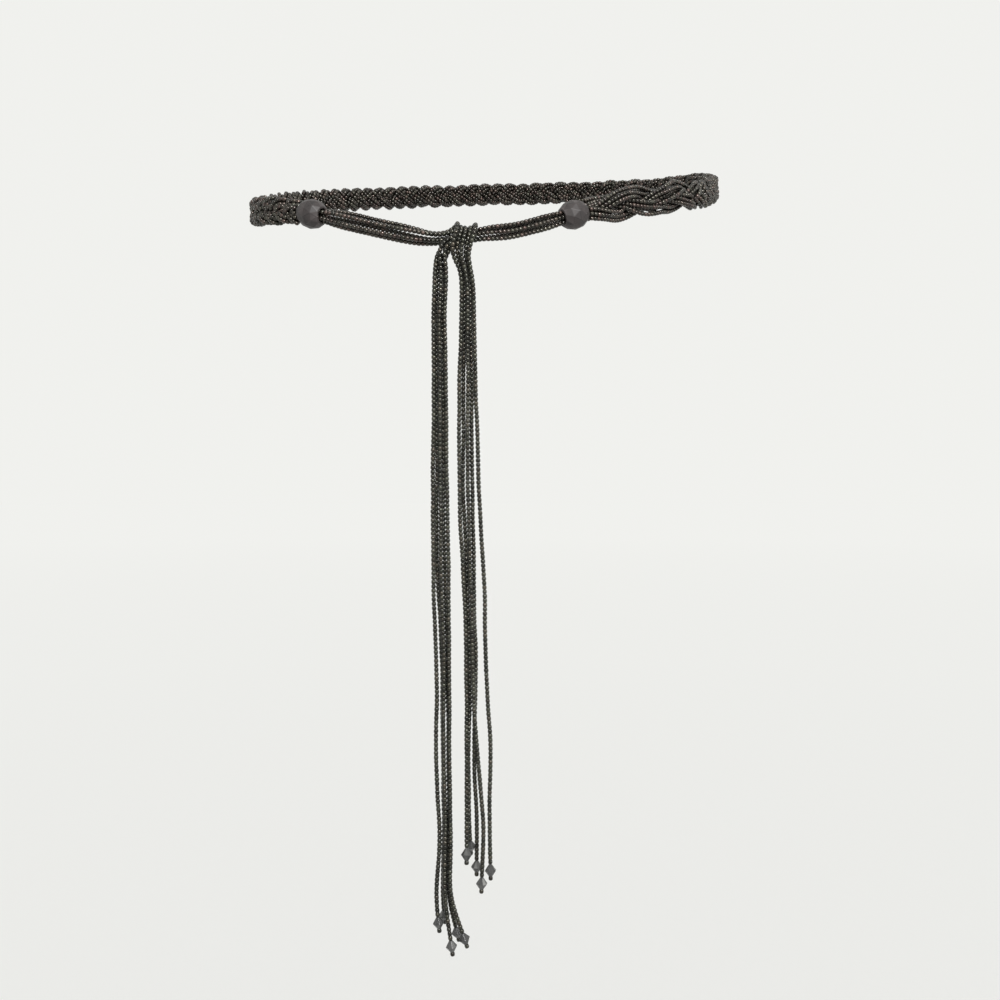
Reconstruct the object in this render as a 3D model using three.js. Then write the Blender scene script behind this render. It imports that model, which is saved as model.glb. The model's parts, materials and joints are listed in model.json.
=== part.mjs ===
// A tie belt of seed-bead strings, as it hangs round the hips. Millimetres, +Z up, wearer's front
// towards -Y. Fifteen strings in three strands are plaited round the sides and back. A large faceted
// bead gathers each end of the plait, five strings run on from each bead, tie in a half knot at the
// front and hang as two tails, and every string ends in a small crystal.
// The origin is the middle of the loop, where the hips go through.

import * as THREE from 'three';

// Loop round the hips: an ellipse, raised at the back and on +X. It is pulled down at the knot and
// rides up and down a little over each hip, by rises round these places, in degrees like the others.
const LOOP_WIDTH = 330;
const LOOP_DEPTH = 230;
const BACK_RISE = 34;
const SIDE_RISE = 22;
const KNOT_RISE = { rise: -19, at: -22, spread: 26 };
const RIGHT_HIP_RISE = { rise: 5, at: 85, spread: 28 };
const LEFT_HIP_RISE = { rise: -3.5, at: 263, spread: 25 };

// Places round the loop, in degrees from the front centre towards +X
const LEFT_BEAD_ANGLE = -58;
const KNOT_ANGLE = KNOT_RISE.at;
const RIGHT_BEAD_ANGLE = 3.5;

// Strings of seed beads
const STRING_DIAMETER = 2.8;
const STRING_SIDES = 6;
const STRINGS_PER_SIDE = 5;
const GAP = 0.3;
const TURN_GAP = 1.2;

// Plait of three flattened strands, loose next to the right bead and tight from there on: a strand's
// wave is long up to the first length from that bead and short past the second
const STRAND_WIDTH = 6.2;
const STRAND_THICKNESS = 4.2;
const STRAND_SIDES = 6;
const PLAIT_SWING = 6.1;
const PLAIT_DEPTH = 3.9;
const LOOSE_WAVE = 130;
const TIGHT_WAVE = 31;
const FIRST_PHASE = -25;
const LOOSE_TO = [85, 125];
const STEPS_PER_WAVE = 9;
const GATHER_LENGTH = 24;
const GATHERED_SHARE = 0.55;

// Large faceted beads, with the strings through their bores
const BEAD_DIAMETER = 18;
const BEAD_LENGTH = 16.5;
const BEAD_BORE = 8.6;
const BEAD_FACETS = 10;
const BEAD_FACE_SHARE = 0.62;
const BEAD_SHOULDER = { radius: 0.9, reach: 0.27 };

// Five strings packed in a ring, as they go through a bead and leave the knot
const PACK_RADIUS = STRING_DIAMETER * 0.95;
const PACK_DIAMETER = 2 * PACK_RADIUS + STRING_DIAMETER;
const PACK_ANGLES = [162, 234, 90, 306, 18];

// Tie strings from each bead to the knot, with their packed places from the topmost to the lowest.
// Between its packed ends a tie opens to this pitch up and down, in two layers this far in and out.
const TIE_ORDER = [2, 4, 0, 3, 1];
const LEFT_TIE = { pitch: 3.1, layer: 0, angles: [-48, -39, -31], steps: 10 };
const RIGHT_TIE = { pitch: 1.7, layer: 1.45, angles: [-6, -12], steps: 8 };
const TIE_SPREAD_EASE = 0.5;
const TIE_PACK_EASE = 1.5;
const TIE_LEAD = 4;
const TIE_GAP = 0.9;
const TIE_STATIONS = 7;

// Half knot, in its own frame: each turn's middle across towards +X, up, and out from the hips, then
// the width and thickness of its five strings, which spread into a flat band over the top, and how
// far that width has turned from upright, in degrees
const TURN_STEPS = 16;
const TURN_SIDES = 8;
const RIGHT_TURN = [
  { across: 13.5, up: 3.2, out: 0.0, width: 7.6, thickness: 7.4, turned: 0 },
  { across: 7.0, up: 1.6, out: 0.4, width: 7.6, thickness: 7.0, turned: 0 },
  { across: 1.0, up: -0.8, out: 0.6, width: 8.0, thickness: 6.2, turned: 0 },
  { across: -4.8, up: -2.4, out: 1.2, width: 8.2, thickness: 5.8, turned: 20 },
  { across: -10.0, up: -4.4, out: 1.6, width: 8.0, thickness: 6.0, turned: 60 },
  { across: -10.4, up: -9.0, out: 1.0, width: 7.4, thickness: 7.2, turned: 90 },
];
const LEFT_TURN = [
  { across: -15.0, up: 0.6, out: -5.6, width: 7.6, thickness: 7.4, turned: 0 },
  { across: -9.0, up: 1.2, out: -7.4, width: 8.8, thickness: 5.4, turned: 0 },
  { across: -1.6, up: 2.6, out: -7.4, width: 10.0, thickness: 4.4, turned: 25 },
  { across: 4.4, up: 6.8, out: -5.8, width: 12.4, thickness: 3.6, turned: 65 },
  { across: 6.2, up: 9.9, out: 0.9, width: 14.0, thickness: 3.4, turned: 90 },
  { across: 5.0, up: 2.4, out: 7.6, width: 13.8, thickness: 3.6, turned: 90 },
  { across: 1.2, up: -5.0, out: 7.8, width: 14.0, thickness: 3.8, turned: 90 },
  { across: 0.2, up: -11.2, out: 5.8, width: 13.6, thickness: 4.2, turned: 90 },
  { across: 4.9, up: -15.2, out: 1.4, width: 7.8, thickness: 6.8, turned: 90 },
  { across: 5.3, up: -18.7, out: 1.0, width: 7.6, thickness: 7.2, turned: 90 },
];

// Small crystals, each with the stopper bead that holds it on its thread
const CRYSTAL_DIAMETER = 7;
const CRYSTAL_LENGTH = 7;
const CRYSTAL_FACETS = 8;
const CRYSTAL_TABLE = 2.2;
const STOPPER_LENGTH = 1.6;

// Tails. A string's places across are in millimetres from the tail's axis, at these shares of the
// drop from the knot's middle to the lowest crystal; layer is how far it lies out from the axis.
const TAIL_OUT = 1;
const TAIL_LAYER = 1.6;
const TAIL_STEPS = 20;
const LEFT_TAIL = {
  drop: 421,
  across: -10,
  shares: [0.031, 0.10, 0.26, 0.46, 0.61, 0.73, 0.85, 0.93],
  strings: [
    { layer: 1, across: [-3.1, -4.0, -4.3, -4.6, -2.6, -2.9, -0.9, -3.1], end: [-1.5, 0.966, 1.35] },
    { layer: -1, across: [-1.6, -2.3, -2.3, -2.1, 0.9, 1.1, 1.9, 0.9], end: [2.1, 0.961, -4.5] },
    { layer: 1, across: [0.0, -0.7, -0.5, 0.1, 1.8, 1.5, 2.7, 2.1], end: [6.2, 1.0, 1.35] },
    { layer: -1, across: [1.5, 0.9, 1.4, 2.2, 4.1, 4.3, 5.0, 4.3], end: [9.7, 0.987, -4.8] },
    { layer: 1, across: [3.1, 2.4, 3.2, 4.3, 5.0, 4.8, 6.0, 5.6], end: [13.9, 0.990, 1.35] },
  ],
};
const RIGHT_TAIL = {
  drop: 384,
  across: 5.3,
  shares: [0.062, 0.12, 0.26, 0.40, 0.54, 0.68, 0.80, 0.90],
  strings: [
    { layer: 1, across: [-2.6, -3.2, -4.3, -4.2, -1.6, 0.0, -0.2, 0.1], end: [-0.2, 0.951, 4.6] },
    { layer: -1, across: [-1.0, -1.2, -1.8, -1.7, 0.6, 1.9, 1.4, 1.4], end: [2.6, 0.948, -6.0] },
    { layer: 1, across: [0.6, 0.7, 0.7, 0.8, 2.6, 3.8, 6.2, 10.0], end: [8.9, 1.0, 1.35] },
    { layer: -1, across: [2.3, 2.6, 3.2, 3.6, 4.6, 5.5, 4.6, 6.1], end: [6.2, 0.978, -3.5] },
    { layer: 1, across: [3.8, 4.5, 5.7, 7.6, 10.4, 11.8, 14.2, 13.6], end: [14.2, 0.980, 1.35] },
  ],
};

const belt = new THREE.Group();

const materials = {
  bronzeBeads: new THREE.MeshStandardMaterial({ color: 0x4f4639, roughness: 0.3, metalness: 0.5 }),
  oliveBeads: new THREE.MeshStandardMaterial({ color: 0x49473c, roughness: 0.3, metalness: 0.5 }),
  smokyBead: new THREE.MeshStandardMaterial({ color: 0x4a4443, roughness: 0.15, metalness: 0 }),
  crystal: new THREE.MeshStandardMaterial({ color: 0x8b8e92, roughness: 0.08, metalness: 0 }),
};

function addPiece(name, geometry, material) {
  const mesh = new THREE.Mesh(geometry, material.clone());
  mesh.name = name;
  belt.add(mesh);
  return mesh;
}

// The loop

function loopPoint(angle) {
  const turn = THREE.MathUtils.degToRad(angle);
  let height = SIDE_RISE * Math.sin(turn) - BACK_RISE * Math.cos(turn);
  for (const { rise, at, spread } of [KNOT_RISE, RIGHT_HIP_RISE, LEFT_HIP_RISE]) {
    const away = THREE.MathUtils.euclideanModulo(angle - at + 180, 360) - 180;
    height += rise * Math.exp(-((away / spread) ** 2));
  }
  return new THREE.Vector3(LOOP_WIDTH / 2 * Math.sin(turn), -LOOP_DEPTH / 2 * Math.cos(turn), height);
}

// Axes of a section across a run of strings: along it, out from the hips, and up its width
function sectionAxes(along) {
  const out = new THREE.Vector3(along.y, -along.x, 0).normalize();
  return { along, out, up: new THREE.Vector3().crossVectors(out, along) };
}

function loopFrame(angle) {
  const halfStep = 0.5;
  const along = loopPoint(angle + halfStep).sub(loopPoint(angle - halfStep)).normalize();
  return { at: loopPoint(angle), ...sectionAxes(along) };
}

function offsetFrom(at, axes, up, out) {
  return at.clone().addScaledVector(axes.up, up).addScaledVector(axes.out, out);
}

// Angle reached after a length of loop from a starting angle, walked in short steps
function angleAfter(startAngle, length) {
  const stepAngle = Math.sign(length) * 0.05;
  let angle = startAngle;
  let walked = 0;
  while (walked < Math.abs(length)) {
    walked += loopPoint(angle).distanceTo(loopPoint(angle + stepAngle));
    angle += stepAngle;
  }
  return angle;
}

// Tubes and lofts

function tubeAlong(points, diameter, steps) {
  const section = new THREE.Shape();
  section.absarc(0, 0, diameter / 2, 0, 2 * Math.PI);
  return new THREE.ExtrudeGeometry(section, {
    extrudePath: new THREE.CatmullRomCurve3(points),
    steps,
    curveSegments: STRING_SIDES / 2,
    bevelEnabled: false,
  });
}

// A closed solid through a row of like sections, each a centre with its axes, width and thickness
function loftThrough(sections, sides) {
  const positions = [];
  const faces = [];
  for (const { at, axes, width, thickness } of sections) {
    for (let side = 0; side < sides; side += 1) {
      const turn = 2 * Math.PI * side / sides;
      const corner = offsetFrom(at, axes, width / 2 * Math.cos(turn), thickness / 2 * Math.sin(turn));
      positions.push(corner.x, corner.y, corner.z);
    }
  }
  const lastRing = (sections.length - 1) * sides;
  for (let ring = 0; ring < lastRing; ring += sides) {
    for (let side = 0; side < sides; side += 1) {
      const next = (side + 1) % sides;
      faces.push(ring + side, ring + next, ring + sides + next);
      faces.push(ring + side, ring + sides + next, ring + sides + side);
    }
  }
  for (let side = 1; side < sides - 1; side += 1) {
    faces.push(0, side + 1, side);
    faces.push(lastRing, lastRing + side, lastRing + side + 1);
  }
  const geometry = new THREE.BufferGeometry();
  geometry.setAttribute('position', new THREE.Float32BufferAttribute(positions, 3));
  geometry.setIndex(faces);
  geometry.computeVertexNormals();
  return geometry;
}

// Plait: three strands from the right bead round the back to the left bead

function addPlait() {
  const beadReach = BEAD_LENGTH / 2 + GAP;
  const startAngle = angleAfter(RIGHT_BEAD_ANGLE, beadReach);
  const endAngle = angleAfter(LEFT_BEAD_ANGLE + 360, -beadReach);
  const angles = [startAngle];
  const lengths = [0];
  const waves = [0];
  const walkSteps = 4000;
  for (let step = 1; step <= walkSteps; step += 1) {
    angles.push(THREE.MathUtils.lerp(startAngle, endAngle, step / walkSteps));
    const walked = loopPoint(angles[step]).distanceTo(loopPoint(angles[step - 1]));
    const tightness = THREE.MathUtils.smoothstep(lengths[step - 1], ...LOOSE_TO);
    lengths.push(lengths[step - 1] + walked);
    waves.push(waves[step - 1] + walked * THREE.MathUtils.lerp(1 / LOOSE_WAVE, 1 / TIGHT_WAVE, tightness));
  }
  const stepCount = Math.round(waves[walkSteps] * STEPS_PER_WAVE);
  for (let strand = 0; strand < 3; strand += 1) {
    const sections = [];
    let place = 0;
    for (let step = 0; step <= stepCount; step += 1) {
      const wave = waves[walkSteps] * step / stepCount;
      while (place < walkSteps && waves[place] < wave) place += 1;
      const fromEnd = Math.min(lengths[place], lengths[walkSteps] - lengths[place]);
      const gathered = 1 - THREE.MathUtils.smoothstep(fromEnd, 0, GATHER_LENGTH);
      const size = 1 - (1 - GATHERED_SHARE) * gathered;
      const phase = 2 * Math.PI * (wave + strand / 3) + THREE.MathUtils.degToRad(FIRST_PHASE);
      const frame = loopFrame(angles[place]);
      sections.push({
        at: offsetFrom(frame.at, frame, size * PLAIT_SWING * Math.sin(phase),
          size * PLAIT_DEPTH * Math.sin(2 * phase)),
        axes: frame,
        width: size * STRAND_WIDTH,
        thickness: size * STRAND_THICKNESS,
      });
    }
    addPiece(`plait_strand_${strand + 1}`, loftThrough(sections, STRAND_SIDES), materials.bronzeBeads);
  }
}

// Large beads

function addLargeBead(side, angle) {
  const radius = BEAD_DIAMETER / 2;
  const half = BEAD_LENGTH / 2;
  const shoulder = BEAD_SHOULDER.radius * radius;
  const shoulderAt = BEAD_SHOULDER.reach * BEAD_LENGTH;
  const profile = [
    [BEAD_BORE / 2, -half],
    [BEAD_FACE_SHARE * radius, -half],
    [shoulder, -shoulderAt],
    [radius, 0],
    [shoulder, shoulderAt],
    [BEAD_FACE_SHARE * radius, half],
    [BEAD_BORE / 2, half],
    [BEAD_BORE / 2, -half],
  ].map(([across, along]) => new THREE.Vector2(across, along));
  const frame = loopFrame(angle);
  const bead = addPiece(`large_bead_${side}`, new THREE.LatheGeometry(profile, BEAD_FACETS),
    materials.smokyBead);
  bead.position.copy(frame.at);
  bead.quaternion.setFromUnitVectors(new THREE.Vector3(0, 1, 0), frame.along);
  const core = new THREE.CylinderGeometry(PACK_DIAMETER / 2, PACK_DIAMETER / 2, BEAD_LENGTH, BEAD_FACETS);
  const strings = addPiece(`bead_core_${side}`, core, materials.bronzeBeads);
  strings.position.copy(frame.at);
  strings.quaternion.copy(bead.quaternion);
}

// Knot, and the frame that its routes and the tails are measured in

const knotAt = loopPoint(KNOT_ANGLE);
const knotAlong = loopFrame(KNOT_ANGLE).along.clone().setZ(0).normalize();
const knotAxes = sectionAxes(knotAlong);

function knotPoint(across, up, out) {
  return offsetFrom(knotAt, knotAxes, up, out).addScaledVector(knotAlong, across);
}

function addKnotTurn(name, route) {
  const line = new THREE.CatmullRomCurve3(route.map(({ across, up, out }) => knotPoint(across, up, out)));
  const sections = [];
  for (let step = 0; step <= TURN_STEPS; step += 1) {
    const share = step / TURN_STEPS;
    const place = share * (route.length - 1);
    const row = Math.min(Math.floor(place), route.length - 2);
    const [before, after] = [route[row], route[row + 1]];
    const between = (column) => THREE.MathUtils.lerp(before[column], after[column], place - row);
    const along = line.getTangent(share);
    const turned = THREE.MathUtils.degToRad(between('turned'));
    const up = new THREE.Vector3(0, 0, Math.cos(turned)).addScaledVector(knotAlong, -Math.sin(turned));
    up.addScaledVector(along, -up.dot(along)).normalize();
    sections.push({
      at: line.getPoint(share),
      axes: { along, up, out: new THREE.Vector3().crossVectors(along, up) },
      width: between('width'),
      thickness: between('thickness'),
    });
  }
  addPiece(name, loftThrough(sections, TURN_SIDES), materials.oliveBeads);
}

// Tie strings: laid side by side on the way from a bead to the knot, and packed at both ends

function addTieStrings(side, line, { pitch, layer, steps }) {
  for (let string = 0; string < STRINGS_PER_SIDE; string += 1) {
    const turn = THREE.MathUtils.degToRad(PACK_ANGLES[TIE_ORDER[string]]);
    const rank = (STRINGS_PER_SIDE - 1) / 2 - string;
    const depth = string % 2 === 1 ? layer : -layer;
    const points = [];
    for (let station = 0; station <= TIE_STATIONS; station += 1) {
      const share = station / TIE_STATIONS;
      const opened = Math.sin(Math.PI * share);
      const spread = opened ** TIE_SPREAD_EASE;
      const packed = PACK_RADIUS * (1 - opened ** TIE_PACK_EASE);
      const axes = sectionAxes(line.getTangentAt(share));
      points.push(offsetFrom(line.getPointAt(share), axes, packed * Math.sin(turn) + rank * pitch * spread,
        packed * Math.cos(turn) + depth * spread));
    }
    addPiece(`tie_string_${side}_${string + 1}`, tubeAlong(points, STRING_DIAMETER, steps),
      materials.bronzeBeads);
  }
}

function tieLine(beadAngle, turn, middleAngles) {
  const towardsKnot = Math.sign(KNOT_ANGLE - beadAngle);
  const faceAngle = angleAfter(beadAngle, towardsKnot * (BEAD_LENGTH / 2 + TIE_GAP));
  const points = [faceAngle, ...middleAngles].map(loopPoint);
  const [entry, next] = turn.map(({ across, up, out }) => knotPoint(across, up, out));
  const inward = next.clone().sub(entry).normalize();
  points.push(entry.clone().addScaledVector(inward, -TIE_LEAD), entry.addScaledVector(inward, -TURN_GAP));
  return new THREE.CatmullRomCurve3(points);
}

// Tails

function addTail(side, tail, knotTurn) {
  const height = (share) => -share * tail.drop;
  const top = knotTurn.at(-1);
  tail.strings.forEach((string, index) => {
    const turn = THREE.MathUtils.degToRad(PACK_ANGLES[index]);
    const points = [knotPoint(top.across + PACK_RADIUS * Math.cos(turn), top.up - TURN_GAP,
      top.out + PACK_RADIUS * Math.sin(turn))];
    tail.shares.forEach((share, station) => {
      points.push(knotPoint(tail.across + string.across[station], height(share),
        TAIL_OUT + string.layer * TAIL_LAYER));
    });
    const [endAcross, endShare, endOut] = string.end;
    const crystalAt = knotPoint(tail.across + endAcross, height(endShare), TAIL_OUT + endOut);
    const down = crystalAt.clone().sub(points.at(-1)).normalize();
    points.push(crystalAt.clone().addScaledVector(down, -(CRYSTAL_LENGTH / 2 + GAP)));
    addPiece(`tail_string_${side}_${index + 1}`, tubeAlong(points, STRING_DIAMETER, TAIL_STEPS),
      materials.oliveBeads);
    addCrystal(`crystal_${side}_${index + 1}`, crystalAt, down);
  });
}

function addCrystal(name, at, down) {
  const half = CRYSTAL_LENGTH / 2;
  const stopper = STRING_DIAMETER / 2;
  const profile = [
    [0, -half - STOPPER_LENGTH],
    [stopper, -half - STOPPER_LENGTH],
    [stopper, -half],
    [CRYSTAL_DIAMETER / 2, 0],
    [CRYSTAL_TABLE / 2, half],
    [0, half],
  ].map(([across, along]) => new THREE.Vector2(across, along));
  const crystal = addPiece(name, new THREE.LatheGeometry(profile, CRYSTAL_FACETS), materials.crystal);
  crystal.position.copy(at);
  crystal.quaternion.setFromUnitVectors(new THREE.Vector3(0, -1, 0), down);
}

addPlait();
addLargeBead('left', LEFT_BEAD_ANGLE);
addLargeBead('right', RIGHT_BEAD_ANGLE);
addTieStrings('left', tieLine(LEFT_BEAD_ANGLE, LEFT_TURN, LEFT_TIE.angles), LEFT_TIE);
addTieStrings('right', tieLine(RIGHT_BEAD_ANGLE, RIGHT_TURN, RIGHT_TIE.angles), RIGHT_TIE);
addKnotTurn('knot_turn_left', LEFT_TURN);
addKnotTurn('knot_turn_right', RIGHT_TURN);
addTail('left', LEFT_TAIL, RIGHT_TURN);
addTail('right', RIGHT_TAIL, LEFT_TURN);

export default belt;
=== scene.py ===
import json
import math

import bmesh
import bpy
import numpy as np
from mathutils import Matrix
from mathutils.kdtree import KDTree

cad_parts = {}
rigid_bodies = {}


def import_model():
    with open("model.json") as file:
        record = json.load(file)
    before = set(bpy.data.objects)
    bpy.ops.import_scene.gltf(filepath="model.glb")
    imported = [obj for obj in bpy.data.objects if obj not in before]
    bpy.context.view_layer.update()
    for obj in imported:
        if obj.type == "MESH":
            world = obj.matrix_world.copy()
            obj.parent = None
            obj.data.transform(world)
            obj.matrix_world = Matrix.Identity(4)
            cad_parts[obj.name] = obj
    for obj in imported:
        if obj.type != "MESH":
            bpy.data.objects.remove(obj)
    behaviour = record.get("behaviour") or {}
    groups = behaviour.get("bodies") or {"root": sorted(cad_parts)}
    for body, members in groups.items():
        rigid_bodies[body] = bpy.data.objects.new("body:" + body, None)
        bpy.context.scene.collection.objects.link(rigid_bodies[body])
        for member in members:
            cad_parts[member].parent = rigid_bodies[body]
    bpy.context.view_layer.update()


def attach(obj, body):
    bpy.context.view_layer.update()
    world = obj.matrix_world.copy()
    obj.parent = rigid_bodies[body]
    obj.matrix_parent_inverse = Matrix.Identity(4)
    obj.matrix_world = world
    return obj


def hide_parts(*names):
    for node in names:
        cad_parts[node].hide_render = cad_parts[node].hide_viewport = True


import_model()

# Seed bead
# A short cut of drawn glass tube whose ends were tumbled round in the kiln, about as long as it is
# wide. One is modelled here, and every string on the belt is threaded with copies of it.
BEAD_WIDTH = 0.0028
BEAD_PITCH = 0.0026
BEAD_SIDES = 10
BEAD_CHEEK = 0.87
BEAD_LIP = 0.30
BEAD_FACE_RISE = 0.0003
BEAD_TIP = 0.05
BEAD_WIDTH_SPREAD = 0.022
BEAD_LENGTH_SHIFT = -0.01
BEAD_LENGTH_SPREAD = 0.02
NEARLY_ALONG = 0.9


def select_ends(piece):
    """Selects, in edit mode, the faces that look along the piece's own Z."""
    shape = bmesh.from_edit_mesh(piece.data)
    for face in shape.faces:
        face.select_set(abs(face.normal.z) > NEARLY_ALONG)
    shape.select_flush_mode()
    bmesh.update_edit_mesh(piece.data)


bpy.ops.object.select_all(action="DESELECT")
bpy.context.tool_settings.mesh_select_mode = (False, False, True)
bpy.ops.mesh.primitive_cylinder_add(
    vertices=BEAD_SIDES, radius=BEAD_CHEEK * BEAD_WIDTH / 2, depth=BEAD_PITCH - 2 * BEAD_FACE_RISE)
seed_bead = bpy.context.object
bpy.ops.object.mode_set(mode="EDIT")
bpy.ops.mesh.select_all(action="SELECT")
bpy.ops.mesh.bisect(plane_co=(0, 0, 0), plane_no=(0, 0, 1))
bpy.ops.transform.resize(value=(1 / BEAD_CHEEK, 1 / BEAD_CHEEK, 1))
select_ends(seed_bead)
bpy.ops.mesh.inset(thickness=BEAD_LIP * BEAD_WIDTH / 2, depth=BEAD_FACE_RISE, use_individual=True)
bpy.ops.object.mode_set(mode="OBJECT")

bead_points = np.empty(3 * len(seed_bead.data.vertices))
seed_bead.data.vertices.foreach_get("co", bead_points)
bead_points = bead_points.reshape(-1, 3)
bead_corners = np.empty(len(seed_bead.data.loops), dtype=np.int32)
seed_bead.data.loops.foreach_get("vertex_index", bead_corners)
bead_face_starts = np.empty(len(seed_bead.data.polygons), dtype=np.int32)
seed_bead.data.polygons.foreach_get("loop_start", bead_face_starts)
bpy.data.objects.remove(seed_bead)


def unit(vectors):
    return vectors / np.linalg.norm(vectors, axis=-1, keepdims=True)


def thread_beads(name, runs, draw):
    """One piece with a copy of the bead at each place of its runs, each turned along its string.

    A run is a row of places and the way the string goes at each. Every copy is rolled, tipped and
    sized a little differently and has a tone of its own, kept in the attribute bead_tone.
    """
    places = np.concatenate([place for place, along in runs])
    along = np.concatenate([along for place, along in runs])
    count = len(places)
    along = unit(along + BEAD_TIP * draw.standard_normal((count, 3)))
    level = np.where(np.abs(along[:, 2:]) > NEARLY_ALONG, [[1.0, 0.0, 0.0]], [[0.0, 0.0, 1.0]])
    across = unit(np.cross(along, level))
    roll = draw.uniform(0, 2 * math.pi, (count, 1))
    side = np.cos(roll) * across + np.sin(roll) * np.cross(along, across)
    turned = np.stack([side, np.cross(along, side), along], axis=-1)
    wider = draw.normal(0, BEAD_WIDTH_SPREAD, count)
    longer = draw.normal(BEAD_LENGTH_SHIFT, BEAD_LENGTH_SPREAD, count)
    size = 1 + np.stack([wider, wider, longer], axis=-1)
    points = np.einsum("bij,bvj->bvi", turned, bead_points[None] * size[:, None])
    points += places[:, None]

    mesh = bpy.data.meshes.new(name)
    mesh.vertices.add(count * len(bead_points))
    mesh.vertices.foreach_set("co", points.ravel())
    mesh.loops.add(count * len(bead_corners))
    number = np.arange(count, dtype=np.int32)[:, None]
    corners = bead_corners + len(bead_points) * number
    mesh.loops.foreach_set("vertex_index", corners.ravel())
    mesh.polygons.add(count * len(bead_face_starts))
    face_starts = bead_face_starts + len(bead_corners) * number
    mesh.polygons.foreach_set("loop_start", face_starts.ravel())
    mesh.update(calc_edges=True)
    tones = np.repeat(np.concatenate([draw.random((count, 3)), np.ones((count, 1))], axis=1),
                      len(bead_points), axis=0)
    mesh.attributes.new("bead_tone", "FLOAT_COLOR", "POINT").data.foreach_set("color", tones.ravel())
    mesh.shade_smooth()
    mesh.validate()
    piece = bpy.data.objects.new(name, mesh)
    bpy.context.collection.objects.link(piece)
    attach(piece, "root")
    return piece


# Glass lustre
# The beads are dark glass with a fired metallic lustre: olive and bronze, with reddish ones among
# them. The lustre wears thin in patches, so the tone changes a little over each bead as well.
LUSTRE_WEAR_SCALE = 700.0
LUSTRE_WEAR = 0.7


class Value:
    """A number that varies over a surface, written in expressions as Python numbers are."""

    def __init__(self, tree, socket):
        self.tree = tree
        self.socket = socket

    def join(self, operation, first, second):
        return self.tree.add("ShaderNodeMath", {"operation": operation}, {0: first, 1: second})

    def __add__(self, other):
        return self.join("ADD", self, other)

    def __radd__(self, other):
        return self.join("ADD", other, self)

    def __sub__(self, other):
        return self.join("SUBTRACT", self, other)

    def __mul__(self, other):
        return self.join("MULTIPLY", self, other)

    def __rmul__(self, other):
        return self.join("MULTIPLY", other, self)


class Finish:
    """A material and its nodes."""

    def __init__(self, name):
        self.material = bpy.data.materials.new(name)
        self.material.use_nodes = True
        self.nodes = self.material.node_tree.nodes
        self.shader = self.nodes["Principled BSDF"]

    def fill(self, node, inputs):
        for key, value in inputs.items():
            if isinstance(value, Value):
                self.material.node_tree.links.new(value.socket, node.inputs[key])
            else:
                node.inputs[key].default_value = value

    def add(self, kind, settings, inputs, output=0):
        """Adds a node: its settings first, then the values or links of its sockets."""
        node = self.nodes.new(kind)
        for key, value in settings.items():
            if key == "stops":
                while len(node.color_ramp.elements) < len(value):
                    node.color_ramp.elements.new(0.5)
                for stop, (position, colour) in zip(node.color_ramp.elements, value):
                    stop.position = position
                    stop.color = colour
            else:
                setattr(node, key, value)
        self.fill(node, inputs)
        return Value(self, node.outputs[output])

    def surface(self, **inputs):
        """Sets the sockets of the surface shader, by their names with underscores for spaces."""
        self.fill(self.shader, {key.replace("_", " "): value for key, value in inputs.items()})


def lustre_glass(name, stops, brightness):
    """Lustred bead glass in a run of tones, with the lightest and darkest beads by brightness."""
    finish = Finish(name)
    tone = finish.add("ShaderNodeAttribute", {"attribute_name": "bead_tone"}, {})
    hue = finish.add("ShaderNodeSeparateColor", {}, {"Color": tone}, "Red")
    shade = finish.add("ShaderNodeSeparateColor", {}, {"Color": tone}, "Green")
    sheen = finish.add("ShaderNodeSeparateColor", {}, {"Color": tone}, "Blue")
    here = finish.add("ShaderNodeTexCoord", {}, {}, "Object")
    wear = finish.add("ShaderNodeTexNoise", {},
                      {"Vector": here, "Scale": LUSTRE_WEAR_SCALE, "Detail": 2.0}, "Fac")
    worn_hue = hue + (wear - 0.5) * LUSTRE_WEAR
    glass = finish.add("ShaderNodeValToRGB", {"stops": stops}, {"Fac": worn_hue})
    darkest, lightest = brightness
    light = (lightest - darkest) * shade + darkest
    tinted = finish.add("ShaderNodeMix", {"data_type": "RGBA", "blend_type": "MULTIPLY"},
                        {"Factor": 1.0, 6: glass, 7: light}, 2)
    finish.surface(Base_Color=tinted, Metallic=0.85,
                   Roughness=0.14 + 0.30 * sheen * sheen + 0.12 * wear,
                   Coat_Weight=0.35, Coat_Roughness=0.12, Coat_IOR=1.5)
    return finish.material


bronze_lustre = lustre_glass("bronze_lustre_glass", [
    (0.0, (0.058, 0.056, 0.042, 1)),
    (0.40, (0.064, 0.056, 0.044, 1)),
    (0.72, (0.072, 0.057, 0.046, 1)),
    (1.0, (0.088, 0.060, 0.050, 1)),
], (0.24, 0.86))
olive_lustre = lustre_glass("olive_lustre_glass", [
    (0.0, (0.056, 0.058, 0.043, 1)),
    (0.6, (0.062, 0.060, 0.045, 1)),
    (1.0, (0.078, 0.066, 0.050, 1)),
], (0.22, 0.82))

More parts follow.
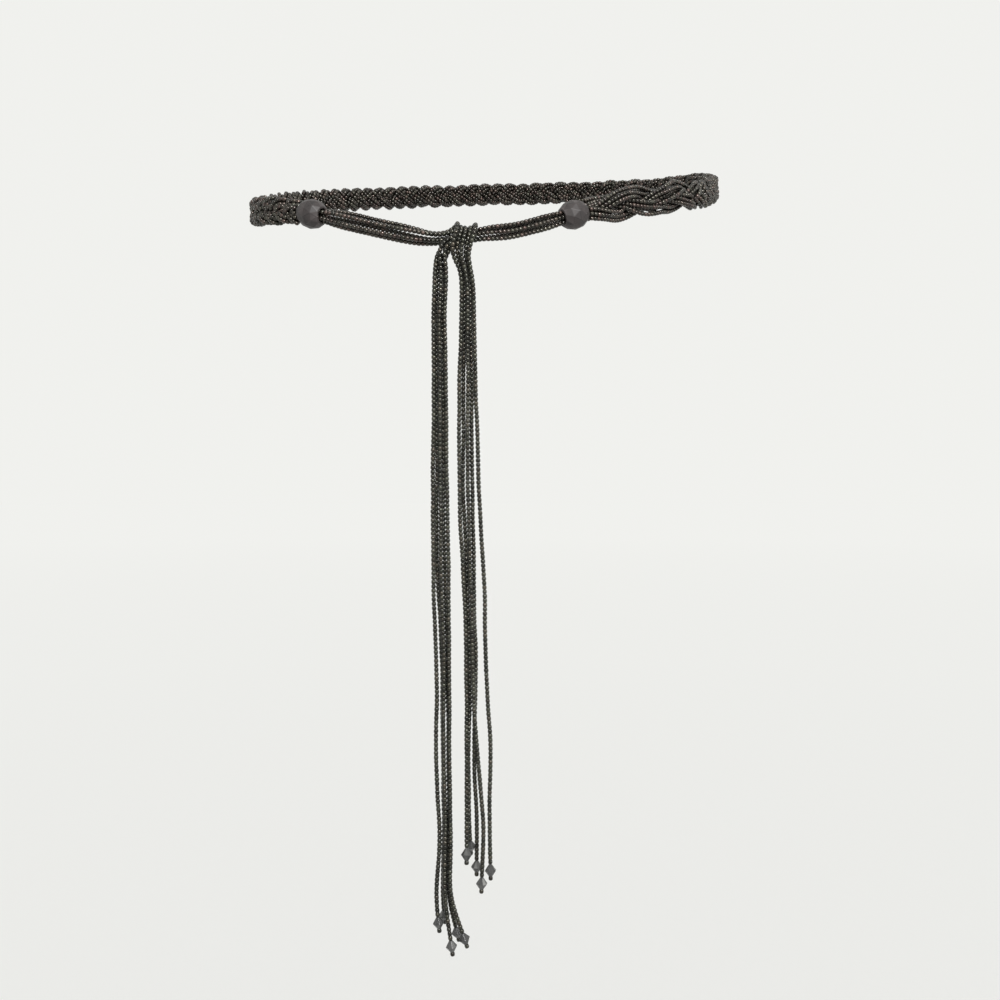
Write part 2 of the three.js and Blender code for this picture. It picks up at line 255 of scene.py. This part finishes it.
# Plait
# Fifteen strings in three strands of five, plaited from the right bead round the hips to the left
# bead. The crossings are drawn tight along the belt and are long and loose next to the right bead.
LOOP_WIDTH = 0.330
LOOP_DEPTH = 0.230
BACK_RISE = 0.034
SIDE_RISE = 0.022
KNOT_ANGLE = -22
LOOP_RISES = [(-0.019, KNOT_ANGLE, 26), (0.005, 85, 28), (-0.0035, 263, 25)]
LEFT_BEAD_ANGLE = -58
RIGHT_BEAD_ANGLE = 3.5
LARGE_BEAD_LENGTH = 0.0165
PIECE_GAP = 0.0003
PLAIT_SWING = 0.0061
PLAIT_DEPTH = 0.0039
LOOSE_WAVE = 0.130
TIGHT_WAVE = 0.031
LOOSE_TO = (0.085, 0.125)
FIRST_PHASE = -25
GATHER_LENGTH = 0.024
GATHERED_SHARE = 0.55
STRANDS = 3
STRAND_PLACES = [
    (-0.0025, 0.0011), (0.0, 0.0012), (0.0025, 0.0011), (-0.0013, -0.0012), (0.0013, -0.0012)]
STRAND_ROLL = 0.6
STRING_WANDER = 0.0005
LOOSE_WANDER = 0.0016
LOOSE_SPREAD = 1.4
WANDER_WAVES = (0.090, 0.047, 0.026)
WALK_DEGREES = 40
WALK_STEPS = 4001
PLAIT_STATIONS = 3201
TANGENT_REACH = 0.0006
SETTLE_ROUNDS = 60
SETTLE_LOOK_EVERY = 6
SETTLE_REACH = 1.5
SETTLE_PUSH = 0.3
SETTLE_SMOOTH = 0.25
SETTLE_RETURN = 0.015


def loop_point(angle):
    """The belt's line round the hips, at degrees from the front centre towards +X."""
    turn = np.radians(angle)
    height = SIDE_RISE * np.sin(turn) - BACK_RISE * np.cos(turn)
    for rise, at, spread in LOOP_RISES:
        away = (angle - at + 180) % 360 - 180
        height = height + rise * np.exp(-(away / spread) ** 2)
    return np.stack([LOOP_WIDTH / 2 * np.sin(turn), -LOOP_DEPTH / 2 * np.cos(turn), height], axis=-1)


def loop_along(angle):
    """The way the belt's line goes at an angle, not of unit length."""
    return loop_point(angle + 0.5) - loop_point(angle - 0.5)


def section_axes(along):
    """Up and out across a run of strings that goes along."""
    out = unit(np.stack([along[..., 1], -along[..., 0], np.zeros_like(along[..., 0])], axis=-1))
    return np.cross(out, along), out


def square_to(vectors, along):
    """Unit vectors square to the way a line goes, as near to the given ones as can be."""
    return unit(vectors - along * np.sum(vectors * along, axis=1, keepdims=True))


def lengths_along(line):
    steps = np.linalg.norm(np.diff(line, axis=0), axis=1)
    return np.concatenate([[0.0], np.cumsum(steps)])


def angle_after(angle, length):
    """The angle reached after a length of the belt's line."""
    walk = angle + math.copysign(1, length) * np.linspace(0, WALK_DEGREES, WALK_STEPS)
    return float(np.interp(abs(length), lengths_along(loop_point(walk)), walk))


def smooth_step(share):
    share = np.clip(share, 0, 1)
    return share ** 2 * (3 - 2 * share)


def resample(line, places):
    reached = lengths_along(line)
    return np.stack([np.interp(places, reached, line[:, axis]) for axis in range(3)], axis=-1)


def wander(places, draw):
    """A slow random drift along a string, of about one either way."""
    drift = np.zeros_like(places)
    for wave in WANDER_WAVES:
        drift += np.sin(2 * math.pi * (places / (wave * draw.uniform(0.8, 1.2)) + draw.random())) / 2
    return drift


def settle(strings, rounds):
    """Moves crossing strings apart until their beads touch and no more, as limp strings do."""
    points = np.concatenate(strings)
    wanted = points.copy()
    string_of = np.repeat(np.arange(len(strings)), [len(string) for string in strings])
    inner = (string_of[:-2] == string_of[2:])[:, None]
    order = np.arange(len(points))
    for turn in range(rounds):
        if turn % SETTLE_LOOK_EVERY == 0:
            tree = KDTree(len(points))
            for index, point in enumerate(points):
                tree.insert(point, index)
            tree.balance()
            pairs = np.array([
                (index, other)
                for index, point in enumerate(points)
                for _, other, _ in tree.find_range(point, SETTLE_REACH * BEAD_WIDTH)
                if other > index + 2 or (other > index and string_of[other] != string_of[index])
            ])
        first, second = pairs.T
        apart = points[second] - points[first]
        distance = np.maximum(np.linalg.norm(apart, axis=1, keepdims=True), 1e-6)
        push = apart / distance * np.clip(BEAD_WIDTH - distance, 0, None) * SETTLE_PUSH
        moved = np.zeros_like(points)
        np.add.at(moved, second, push)
        np.add.at(moved, first, -push)
        points += moved
        middle = (points[:-2] + points[2:]) / 2 - points[1:-1]
        points[1:-1] += SETTLE_SMOOTH * middle * inner
        points += SETTLE_RETURN * (wanted - points)
    return [points[string_of == number] for number in range(len(strings))]


def to_ends(line):
    """A line of bead centres, run on by half a bead at each end."""
    first = line[0] + unit(line[0] - line[1]) * BEAD_PITCH / 2
    last = line[-1] + unit(line[-1] - line[-2]) * BEAD_PITCH / 2
    return np.concatenate([[first], line, [last]])


def bead_places(line):
    """Bead centres and directions along a string, at even steps that fill it end to end."""
    length = lengths_along(line)[-1]
    count = max(1, round(length / BEAD_PITCH))
    middles = (np.arange(count) + 0.5) * length / count
    centres = resample(line, middles)
    ahead = resample(line, middles + TANGENT_REACH)
    behind = resample(line, middles - TANGENT_REACH)
    return centres, unit(ahead - behind), middles / length


plait_draw = np.random.default_rng(21)
bead_reach = LARGE_BEAD_LENGTH / 2 + PIECE_GAP + BEAD_PITCH / 4
plait_angles = np.linspace(angle_after(RIGHT_BEAD_ANGLE, bead_reach),
                           angle_after(LEFT_BEAD_ANGLE + 360, -bead_reach), PLAIT_STATIONS)
middle_line = loop_point(plait_angles)
middle_up, middle_out = section_axes(unit(np.gradient(middle_line, axis=0)))
plait_reached = lengths_along(middle_line)
tightness = smooth_step((plait_reached - LOOSE_TO[0]) / (LOOSE_TO[1] - LOOSE_TO[0]))
wave_rate = (1 - tightness) / LOOSE_WAVE + tightness / TIGHT_WAVE
waves = np.concatenate([[0.0], np.cumsum(wave_rate[:-1] * np.diff(plait_reached))])
from_end = np.minimum(plait_reached, plait_reached[-1] - plait_reached)
strand_size = (GATHERED_SHARE + (1 - GATHERED_SHARE) * smooth_step(from_end / GATHER_LENGTH))[:, None]

loosened = ((1 - tightness) * smooth_step(from_end / GATHER_LENGTH))[:, None]
drift_width = STRING_WANDER + (LOOSE_WANDER - STRING_WANDER) * loosened
spread = 1 + (LOOSE_SPREAD - 1) * loosened

plait_strings = []
for strand in range(STRANDS):
    phase = (2 * math.pi * (waves + strand / STRANDS) + math.radians(FIRST_PHASE))[:, None]
    strand_line = (middle_line
                   + middle_up * strand_size * PLAIT_SWING * np.sin(phase)
                   + middle_out * strand_size * PLAIT_DEPTH * np.sin(2 * phase))
    strand_along = unit(np.gradient(strand_line, axis=0))
    strand_out = square_to(middle_out, strand_along)
    strand_up = np.cross(strand_out, strand_along)
    strand_reached = lengths_along(strand_line)
    roll = (STRAND_ROLL * wander(strand_reached, plait_draw))[:, None]
    for up_place, out_place in STRAND_PLACES:
        up_place = up_place * spread + drift_width * wander(strand_reached, plait_draw)[:, None]
        out_place = out_place * spread + drift_width * wander(strand_reached, plait_draw)[:, None] / 2
        string_line = (strand_line
                       + strand_up * strand_size * (up_place * np.cos(roll) - out_place * np.sin(roll))
                       + strand_out * strand_size * (up_place * np.sin(roll) + out_place * np.cos(roll)))
        centres, _, _ = bead_places(string_line)
        plait_strings.append(centres)

plait_strings = settle(plait_strings, SETTLE_ROUNDS)
for strand in range(STRANDS):
    first = strand * len(STRAND_PLACES)
    strings = plait_strings[first:first + len(STRAND_PLACES)]
    runs = [bead_places(to_ends(string))[:2] for string in strings]
    piece = thread_beads(f"plait_strand_beads_{strand + 1}", runs, plait_draw)
    piece.data.materials.append(bronze_lustre)
    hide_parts(f"plait_strand_{strand + 1}")

# Front strings
# Five strings of seed beads run on through each large bead. The left ones go behind the right ones
# in a half knot, up over them in a flat band and down in front. Each five then hangs as a tail.
PACKED_WIDTH = 7.6
BAND_WIDTH = 14.0
BAND_LAYER = 0.0008
PACK_RADIUS = 0.95 * BEAD_WIDTH
PACK_ANGLES = np.radians([180, 252, 108, 324, 36])
TIE_ORDER = [2, 4, 0, 3, 1]

# Rows of the knot: across, up, out and width in mm, and the band's turn in degrees.
KNOT_TURNS = {
    "right": [
        (13.5, 3.2, 0.0, 7.6, 0),
        (7.0, 1.6, 0.4, 7.6, 0),
        (1.0, -0.8, 0.6, 8.0, 0),
        (-4.8, -2.4, 1.2, 8.2, 20),
        (-10.0, -4.4, 1.6, 8.0, 60),
        (-10.4, -9.0, 1.0, 7.4, 90),
    ],
    "left": [
        (-15.0, 0.6, -5.6, 7.6, 0),
        (-9.0, 1.2, -7.4, 8.8, 0),
        (-1.6, 2.6, -7.4, 10.0, 25),
        (4.4, 6.8, -5.8, 12.4, 65),
        (6.2, 9.9, 0.9, 14.0, 90),
        (5.0, 2.4, 7.6, 13.4, 90),
        (1.2, -5.0, 7.8, 13.6, 90),
        (0.2, -11.2, 5.8, 13.0, 90),
        (4.9, -15.2, 1.4, 7.8, 90),
        (5.3, -18.7, 1.0, 7.6, 90),
    ],
}

# Ties: the large bead's place and the belt line's places, then how the strings lie side by side.
TIES = {
    "left": {"bead": LEFT_BEAD_ANGLE, "angles": [-48, -39, -31], "pitch": 0.0022,
             "layer": 0.0010, "slant": 0.34, "tail": "right", "tail_order": [0, 1, 2, 3, 4]},
    "right": {"bead": RIGHT_BEAD_ANGLE, "angles": [-6, -12], "pitch": 0.0017,
              "layer": 0.0014, "slant": -0.26, "tail": "left", "tail_order": [2, 0, 4, 1, 3]},
}
TIE_SPREAD_EASE = 0.5
TIE_PACK_EASE = 1.5
TIE_LEAD = 0.004
TIE_STATIONS = 7
SIDE_DRIFT = 0.00035
TIE_TANGENT_REACH = 0.001
DRIFT_EASE = 0.04
LOBES = (-0.0008, -0.0012, 0.0020, -0.0012, -0.0012)
LOBE_ROW = 4
LOBE_SPREAD = 0.8
TAIL_OUT = 0.001
TAIL_LAYER = 0.0016
CRYSTAL_LENGTH = 0.007

# Tails: each string's layer, its places across in mm at the shares of the drop, and its crystal's
# place across in mm, share of the drop and place out in mm.
TAILS = {
    "left": {
        "drop": 0.421, "across": -10, "shares": [0.031, 0.10, 0.26, 0.46, 0.61, 0.73, 0.85, 0.93],
        "strings": [
            (1, [-3.1, -4.0, -4.3, -4.6, -2.6, -2.9, -0.9, -3.1], (-1.5, 0.966, 1.35)),
            (-1, [-1.6, -2.3, -2.3, -2.1, 0.9, 1.1, 1.9, 0.9], (2.1, 0.961, -4.5)),
            (1, [0.0, -0.7, -0.5, 0.1, 1.8, 1.5, 2.7, 2.1], (6.2, 1.0, 1.35)),
            (-1, [1.5, 0.9, 1.4, 2.2, 4.1, 4.3, 5.0, 4.3], (9.7, 0.987, -4.8)),
            (1, [3.1, 2.4, 3.2, 4.3, 5.0, 4.8, 6.0, 5.6], (13.9, 0.990, 1.35)),
        ]},
    "right": {
        "drop": 0.384, "across": 5.3, "shares": [0.062, 0.12, 0.26, 0.40, 0.54, 0.68, 0.80, 0.90],
        "strings": [
            (1, [-2.6, -3.2, -4.3, -4.2, -1.6, 0.0, -0.2, 0.1], (-0.2, 0.951, 4.6)),
            (-1, [-1.0, -1.2, -1.8, -1.7, 0.6, 1.9, 1.4, 1.4], (2.6, 0.948, -6.0)),
            (1, [0.6, 0.7, 0.7, 0.8, 2.6, 3.8, 6.2, 10.0], (8.9, 1.0, 1.35)),
            (-1, [2.3, 2.6, 3.2, 3.6, 4.6, 5.5, 4.6, 6.1], (6.2, 0.978, -3.5)),
            (1, [3.8, 4.5, 5.7, 7.6, 10.4, 11.8, 14.2, 13.6], (14.2, 0.980, 1.35)),
        ]},
}

knot_at = loop_point(KNOT_ANGLE)
knot_along = unit(loop_along(KNOT_ANGLE) * [1, 1, 0])
knot_out = np.array([knot_along[1], -knot_along[0], 0.0])


def knot_point(across, up, out):
    """A place in the knot's own frame."""
    return knot_at + across * knot_along + up * np.array([0.0, 0.0, 1.0]) + out * knot_out


def curve_through(points, per_span=24):
    """A smooth curve through points, and how far along it each of them is."""
    points = np.asarray(points)
    span = np.linalg.norm(np.diff(points, axis=0), axis=1) ** 0.5
    knots = np.concatenate([[0.0], np.cumsum(span)])
    slope = np.gradient(points, knots, axis=0)
    line = []
    for start in range(len(span)):
        t = np.linspace(0, 1, per_span, endpoint=False)[:, None]
        line.append((2 * t**3 - 3 * t**2 + 1) * points[start]
                    + (t**3 - 2 * t**2 + t) * span[start] * slope[start]
                    + (3 * t**2 - 2 * t**3) * points[start + 1]
                    + (t**3 - t**2) * span[start] * slope[start + 1])
    line = np.concatenate([*line, points[-1:]])
    return line, lengths_along(line)[::per_span]


front_draw = np.random.default_rng(8)
front_strings = {}
for side, tie in TIES.items():
    to_knot = math.copysign(1, KNOT_ANGLE - tie["bead"])
    back_face = angle_after(tie["bead"], -to_knot * LARGE_BEAD_LENGTH / 2)
    front_face = angle_after(tie["bead"], to_knot * (LARGE_BEAD_LENGTH / 2 + PIECE_GAP))
    bore_line = loop_point(np.linspace(back_face, front_face, 3))
    rows = np.array(KNOT_TURNS[side])
    entry, inward = (knot_point(*rows[row, :3] / 1000) for row in (0, 1))
    inward = unit(inward - entry)
    tie_line, _ = curve_through([
        loop_point(front_face), *loop_point(np.array(tie["angles"], dtype=float)),
        entry - TIE_LEAD * inward, entry])
    tie_length = lengths_along(tie_line)[-1]
    tie_places = np.linspace(0, tie_length, TIE_STATIONS + 1)
    tie_middle = resample(tie_line, tie_places)
    tie_along = unit(resample(tie_line, tie_places + TIE_TANGENT_REACH)
                     - resample(tie_line, tie_places - TIE_TANGENT_REACH))
    tie_up, tie_out = section_axes(tie_along)
    turn_line, _ = curve_through([knot_point(*row[:3] / 1000) for row in rows], per_span=4)
    turn_along = unit(np.gradient(turn_line, axis=0))
    turn_row = np.linspace(0, len(rows) - 1, len(turn_line))
    turn_width, turned = (
        np.interp(turn_row, np.arange(len(rows)), rows[:, column]) for column in (3, 4))
    turned = np.radians(turned)[:, None]
    turn_up = np.cos(turned) * [0, 0, 1] - np.sin(turned) * knot_along
    turn_up = square_to(turn_up, turn_along)
    turn_out = np.cross(turn_along, turn_up)
    flat = np.clip((turn_width - PACKED_WIDTH) / (BAND_WIDTH - PACKED_WIDTH), 0, 1)
    tail = TAILS[tie["tail"]]
    bore_up, bore_out = section_axes(unit(np.gradient(bore_line, axis=0)))
    for string in range(len(TIE_ORDER)):
        packed = PACK_ANGLES[TIE_ORDER[string]]
        rank = len(TIE_ORDER) // 2 - string
        depth = tie["layer"] if string % 2 else -tie["layer"]
        slant = tie["slant"] * depth
        in_bore = np.sin(packed) * bore_up + np.cos(packed) * bore_out
        points = list((bore_line + PACK_RADIUS * in_bore)[:2])
        for station in range(TIE_STATIONS + 1):
            part = station / TIE_STATIONS
            opened = math.sin(math.pi * part)
            kept = PACK_RADIUS * (1 - opened**TIE_PACK_EASE)
            spread_here = opened**TIE_SPREAD_EASE
            up = kept * math.sin(packed) + (rank * tie["pitch"] - slant) * spread_here
            out = kept * math.cos(packed) + depth * spread_here
            points.append(tie_middle[station] + up * tie_up[station] + out * tie_out[station])
        tie_end = len(points) - 1
        for station in range(2, len(turn_line)):
            width = (flat[station] * rank * (turn_width[station] / 1000 - BEAD_WIDTH)
                     / (len(TIE_ORDER) - 1))
            lobe = LOBES[string] * math.exp(-((turn_row[station] - LOBE_ROW) / LOBE_SPREAD) ** 2)
            up = (1 - flat[station]) * PACK_RADIUS * math.sin(packed) + width
            layer = lobe + (BAND_LAYER if string % 2 else -BAND_LAYER)
            out = (1 - flat[station]) * PACK_RADIUS * math.cos(packed) + flat[station] * layer
            points.append(turn_line[station] + up * turn_up[station] + out * turn_out[station])
        turn_end = len(points) - 1
        tail_string = tie["tail_order"][string]
        layer, across, (end_across, end_share, end_out) = tail["strings"][tail_string]
        for part, place in zip(tail["shares"], across):
            points.append(knot_point((tail["across"] + place) / 1000, -part * tail["drop"],
                                     TAIL_OUT + layer * TAIL_LAYER))
        crystal_at = knot_point((tail["across"] + end_across) / 1000, -end_share * tail["drop"],
                                TAIL_OUT + end_out / 1000)
        down = unit(crystal_at - points[-1])
        points.append(crystal_at - down * (CRYSTAL_LENGTH / 2 + PIECE_GAP))
        line, reached = curve_through(points)
        places = lengths_along(line)
        from_ends = np.minimum(places - reached[turn_end], reached[-1] - places)
        held = np.clip(from_ends / DRIFT_EASE, 0, 1)[:, None]
        for axis, drift in ((knot_along, SIDE_DRIFT), (knot_out, SIDE_DRIFT / 2)):
            line = line + held * drift * wander(places, front_draw)[:, None] * axis
        centres, _, _ = bead_places(line)
        front_strings[tie["tail"], tail_string] = {
            "centres": centres, "crystal": (crystal_at, down), "tie": (side, string),
            "ends": reached[[2, tie_end, turn_end]] / reached[-1]}

settled = settle([string["centres"] for string in front_strings.values()], SETTLE_ROUNDS)
parts = {}
for ((tail_side, tail_string), string), line in zip(front_strings.items(), settled):
    centres, along, places = bead_places(to_ends(line))
    side, number = string["tie"]
    bore_end, tie_end, turn_end = string["ends"]
    for part, start, end in (
            (("bore", side), -1, bore_end), (("tie", side, number + 1), bore_end, tie_end),
            (("turn", side), tie_end, turn_end), (("tail", tail_side, tail_string + 1), turn_end, 2)):
        here = (places > start) & (places <= end)
        parts.setdefault(part, []).append((centres[here], along[here]))

for part, runs in parts.items():
    form, side = part[:2]
    end = "_".join(str(word) for word in part[1:])
    name, node = {
        "bore": (f"bore_strings_{side}", f"bead_core_{side}"),
        "tie": (f"tie_beads_{end}", f"tie_string_{end}"),
        "turn": (f"knot_beads_{side}", f"knot_turn_{side}"),
        "tail": (f"tail_beads_{end}", f"tail_string_{end}"),
    }[form]
    olive = form in ("turn", "tail")
    piece = thread_beads(name, runs, front_draw)
    piece.data.materials.append(olive_lustre if olive else bronze_lustre)
    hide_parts(node)

# Large beads
# A faceted bead of smoky brown glass at each end of the plait, pressed and fire polished, with a
# wide bore. The plait's strings are gathered at its back, and five go on through it to the front.
LARGE_BEAD_DIAMETER = 0.018
LARGE_BEAD_BORE = 0.0086
LARGE_BEAD_FACETS = 10
LARGE_BEAD_RINGS = [(0.62, -0.5), (0.90, -0.27), (1.0, 0.0), (0.90, 0.27), (0.62, 0.5)]
LARGE_BEAD_EDGE = 0.00022
POLISH_ANGLE = math.radians(8)


def place_piece(piece, at, along):
    """Turns a piece's own Z along a direction, moves it to its place, and applies both."""
    side = unit(np.cross([0.1, 1.0, 0.0], along))
    turned = np.stack([side, np.cross(along, side), along], axis=-1)
    piece.matrix_world = Matrix([[*turned[row], at[row]] for row in range(3)] + [[0, 0, 0, 1]])
    bpy.context.view_layer.update()
    bpy.ops.object.select_all(action="DESELECT")
    piece.select_set(True)
    bpy.context.view_layer.objects.active = piece
    bpy.ops.object.transform_apply(location=True, rotation=True, scale=True)


def polish_edges(piece, width):
    """Takes the sharpness off the edges between facets, as polishing does."""
    bevel = piece.modifiers.new("polish", "BEVEL")
    bevel.width = width
    bevel.segments = 1
    bevel.limit_method = "ANGLE"
    bevel.angle_limit = POLISH_ANGLE
    bpy.ops.object.modifier_apply(modifier="polish")


def tone_facets(piece, draw):
    """Gives each facet a random tone of its own, kept in a colour attribute on its corners: painted
    reflection, standing in for the dark and light things each facet of cut glass would mirror.
    """
    sizes = np.empty(len(piece.data.polygons), dtype=np.int32)
    piece.data.polygons.foreach_get("loop_total", sizes)
    tones = np.concatenate([draw.random((len(sizes), 3)), np.ones((len(sizes), 1))], axis=1)
    tone = piece.data.attributes.new("facet_tone", "FLOAT_COLOR", "CORNER")
    tone.data.foreach_set("color", np.repeat(tones, sizes, axis=0).ravel())


# The smoky glass's colour mixes a random cloud in the glass with painted reflection: a random grey for
# each facet that stands in for what the facet mirrors.
smoky = Finish("smoky_glass")
smoky_painted_reflection = smoky.add("ShaderNodeAttribute", {"attribute_name": "facet_tone"}, {}, "Fac")
smoky_here = smoky.add("ShaderNodeTexCoord", {}, {}, "Object")
smoky_cloud = smoky.add("ShaderNodeTexNoise", {}, {"Vector": smoky_here, "Scale": 65.0}, "Fac")
smoky_tint_and_painted_reflection = smoky.add("ShaderNodeValToRGB", {"stops": [
    (0.1, (0.022, 0.019, 0.019, 1)),
    (0.55, (0.050, 0.041, 0.040, 1)),
    (1.0, (0.125, 0.108, 0.108, 1)),
]}, {"Fac": smoky_painted_reflection * 0.7 + smoky_cloud * 1.4 - 0.6})
smoky.surface(Base_Color=smoky_tint_and_painted_reflection, Roughness=0.42 + 0.10 * smoky_cloud, IOR=1.52,
              Specular_IOR_Level=0.25, Transmission_Weight=0.4)
smoky_glass = smoky.material
large_bead_draw = np.random.default_rng(4)

for side, angle in (("left", LEFT_BEAD_ANGLE), ("right", RIGHT_BEAD_ANGLE)):
    bpy.ops.object.select_all(action="DESELECT")
    bpy.ops.mesh.primitive_circle_add(vertices=LARGE_BEAD_FACETS, radius=LARGE_BEAD_DIAMETER / 2)
    piece = bpy.context.object
    piece.name = f"large_bead_glass_{side}"
    bpy.ops.object.mode_set(mode="EDIT")
    bpy.context.tool_settings.mesh_select_mode = (False, True, False)
    bpy.ops.mesh.select_all(action="SELECT")
    first_size, first_height = LARGE_BEAD_RINGS[0]
    bpy.ops.transform.resize(value=(first_size, first_size, 1))
    bpy.ops.transform.translate(value=(0, 0, first_height * LARGE_BEAD_LENGTH))
    size, height = first_size, first_height
    for next_size, next_height in LARGE_BEAD_RINGS[1:]:
        bpy.ops.mesh.extrude_region_move(
            TRANSFORM_OT_translate={"value": (0, 0, (next_height - height) * LARGE_BEAD_LENGTH)})
        bpy.ops.transform.resize(value=(next_size / size, next_size / size, 1))
        bpy.ops.transform.rotate(value=math.pi / LARGE_BEAD_FACETS, orient_axis="Z",
                                 center_override=(0, 0, 0))
        size, height = next_size, next_height
    bore_size = LARGE_BEAD_BORE / LARGE_BEAD_DIAMETER
    bpy.ops.mesh.extrude_region_move()
    bpy.ops.transform.resize(value=(bore_size / size, bore_size / size, 1))
    bpy.ops.mesh.extrude_region_move(TRANSFORM_OT_translate={"value": (0, 0, -LARGE_BEAD_LENGTH)})
    bpy.ops.mesh.extrude_region_move()
    bpy.ops.transform.resize(value=(first_size / bore_size, first_size / bore_size, 1))
    bpy.ops.mesh.select_all(action="SELECT")
    bpy.ops.mesh.remove_doubles(threshold=0.00001)
    bpy.ops.mesh.quads_convert_to_tris()
    bpy.ops.mesh.normals_make_consistent(inside=False)
    bpy.ops.object.mode_set(mode="OBJECT")
    polish_edges(piece, LARGE_BEAD_EDGE)
    place_piece(piece, loop_point(angle), unit(loop_along(angle)))
    piece.data.materials.append(smoky_glass)
    tone_facets(piece, large_bead_draw)
    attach(piece, "root")
    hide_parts(f"large_bead_{side}")

# Crystals
# Each front string ends in a small eight-sided crystal of cut grey glass, held on by one seed bead
# that the thread goes round and back up through.
CRYSTAL_DIAMETER = 0.007
CRYSTAL_TABLE = 0.0022
CRYSTAL_SIDES = 8
CRYSTAL_EDGE = 0.00008
STOPPER_OVERLAP = 0.0002

# The crystal glass's greys are mostly painted reflection: a random grey for each facet, from near black
# to light grey, stands in for what the facet mirrors, with a fine random haze in the glass.
grey_crystal = Finish("grey_crystal_glass")
crystal_painted_reflection = grey_crystal.add("ShaderNodeAttribute", {"attribute_name": "facet_tone"}, {}, "Fac")
crystal_here = grey_crystal.add("ShaderNodeTexCoord", {}, {}, "Object")
crystal_haze = grey_crystal.add("ShaderNodeTexNoise", {},
                                {"Vector": crystal_here, "Scale": 400.0}, "Fac")
crystal_tint_and_painted_reflection = grey_crystal.add("ShaderNodeValToRGB", {"stops": [
    (0.0, (0.018, 0.019, 0.019, 1)),
    (0.45, (0.050, 0.050, 0.049, 1)),
    (0.8, (0.115, 0.115, 0.112, 1)),
    (1.0, (0.26, 0.26, 0.25, 1)),
]}, {"Fac": crystal_painted_reflection * 1.3 - 0.15 + crystal_haze * 0.1})
grey_crystal.surface(Base_Color=crystal_tint_and_painted_reflection, Roughness=0.20 + 0.08 * crystal_haze, IOR=1.56,
                     Specular_IOR_Level=0.2, Transmission_Weight=0.4)
crystal_glass = grey_crystal.material

crystal_draw = np.random.default_rng(5)
for (side, number), string in front_strings.items():
    crystal_at, down = string["crystal"]
    bpy.ops.object.select_all(action="DESELECT")
    bpy.ops.mesh.primitive_cylinder_add(
        vertices=CRYSTAL_SIDES, radius=CRYSTAL_DIAMETER / 2, depth=CRYSTAL_LENGTH)
    piece = bpy.context.object
    piece.name = f"crystal_cut_{side}_{number + 1}"
    bpy.ops.object.mode_set(mode="EDIT")
    bpy.context.tool_settings.mesh_select_mode = (False, False, True)
    bpy.ops.mesh.select_all(action="SELECT")
    bpy.ops.mesh.bisect(plane_co=(0, 0, 0), plane_no=(0, 0, 1))
    select_ends(piece)
    table_size = CRYSTAL_TABLE / CRYSTAL_DIAMETER
    bpy.ops.transform.resize(value=(table_size, table_size, 1))
    bpy.ops.object.mode_set(mode="OBJECT")
    polish_edges(piece, CRYSTAL_EDGE)
    place_piece(piece, crystal_at, down)
    piece.data.materials.append(crystal_glass)
    tone_facets(piece, crystal_draw)
    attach(piece, "root")
    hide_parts(f"crystal_{side}_{number + 1}")
    stopper_at = crystal_at + down * (CRYSTAL_LENGTH / 2 + BEAD_PITCH / 2 - STOPPER_OVERLAP)
    stopper = thread_beads(
        f"stopper_bead_{side}_{number + 1}", [(stopper_at[None], down[None])], crystal_draw)
    stopper.data.materials.append(olive_lustre)

# Studio
# A wide pale paper floor that runs out into pale air. Two square soft lamps in front shine on the
# belt alone, and the camera has the photograph's view.
FLOOR_HEIGHT = -0.74
FLOOR_RADIUS = 40.0
AIR_TONE = (0.875, 0.878, 0.852, 1)
CAMERA_AT = (-0.2452, -0.6738, -0.208)
CAMERA_PITCH = -0.573
CAMERA_TURN = -20.35

bpy.ops.object.select_all(action="DESELECT")
bpy.ops.mesh.primitive_circle_add(vertices=128, radius=FLOOR_RADIUS, fill_type="NGON",
                                  location=(0, 0, FLOOR_HEIGHT))
floor = bpy.context.object
floor.name = "studio_floor"
paper = Finish("studio_paper")
paper_here = paper.add("ShaderNodeTexCoord", {}, {}, "Object")
far = paper.add("ShaderNodeVectorMath", {"operation": "LENGTH"}, {0: paper_here}, "Value")
paper_grain = paper.add("ShaderNodeTexNoise", {}, {"Vector": paper_here, "Scale": 300.0}, "Fac")
paper_tone = paper.add("ShaderNodeValToRGB", {"stops": [
    (0.0, (0.945, 0.945, 0.945, 1)),
    (0.25, (0.97, 0.97, 0.97, 1)),
    (1.0, (1.0, 1.0, 1.0, 1)),
]}, {"Fac": far * 0.1})
paper.surface(Base_Color=paper_tone, Roughness=0.95 + 0.05 * paper_grain, Specular_IOR_Level=0.0)
floor.data.materials.append(paper.material)

world = bpy.data.worlds.new("studio_air")
world.use_nodes = True
world.node_tree.nodes["Background"].inputs["Color"].default_value = AIR_TONE
bpy.context.scene.world = world

lit = bpy.data.collections.new("lit_by_lamps")
for piece in bpy.data.objects:
    if piece.type == "MESH" and piece != floor:
        lit.objects.link(piece)


def soft_light(name, at, towards, width, watts):
    data = bpy.data.lights.new(name, "AREA")
    data.size = width
    data.energy = watts
    light = bpy.data.objects.new(name, data)
    light.location = at
    facing = unit(np.array(towards) - np.array(at))
    light.rotation_euler = (math.acos(-facing[2]), 0, math.atan2(facing[0], -facing[1]) + math.pi)
    light.light_linking.receiver_collection = lit
    bpy.context.collection.objects.link(light)


soft_light("key_light", (-0.30, -1.35, 0.70), (0, -0.05, -0.15), 0.28, 25)
soft_light("fill_light", (0.45, -1.35, 0.30), (0.05, -0.05, -0.05), 0.30, 9)

camera = bpy.data.objects.new("camera", bpy.data.cameras.new("camera"))
camera.data.sensor_width = 36
camera.data.lens = 36
camera.data.clip_start = 0.01
camera.location = CAMERA_AT
camera.rotation_euler = (math.radians(90 + CAMERA_PITCH), 0, math.radians(CAMERA_TURN))
bpy.context.collection.objects.link(camera)
bpy.context.scene.camera = camera
bpy.context.scene.view_settings.view_transform = "Standard"
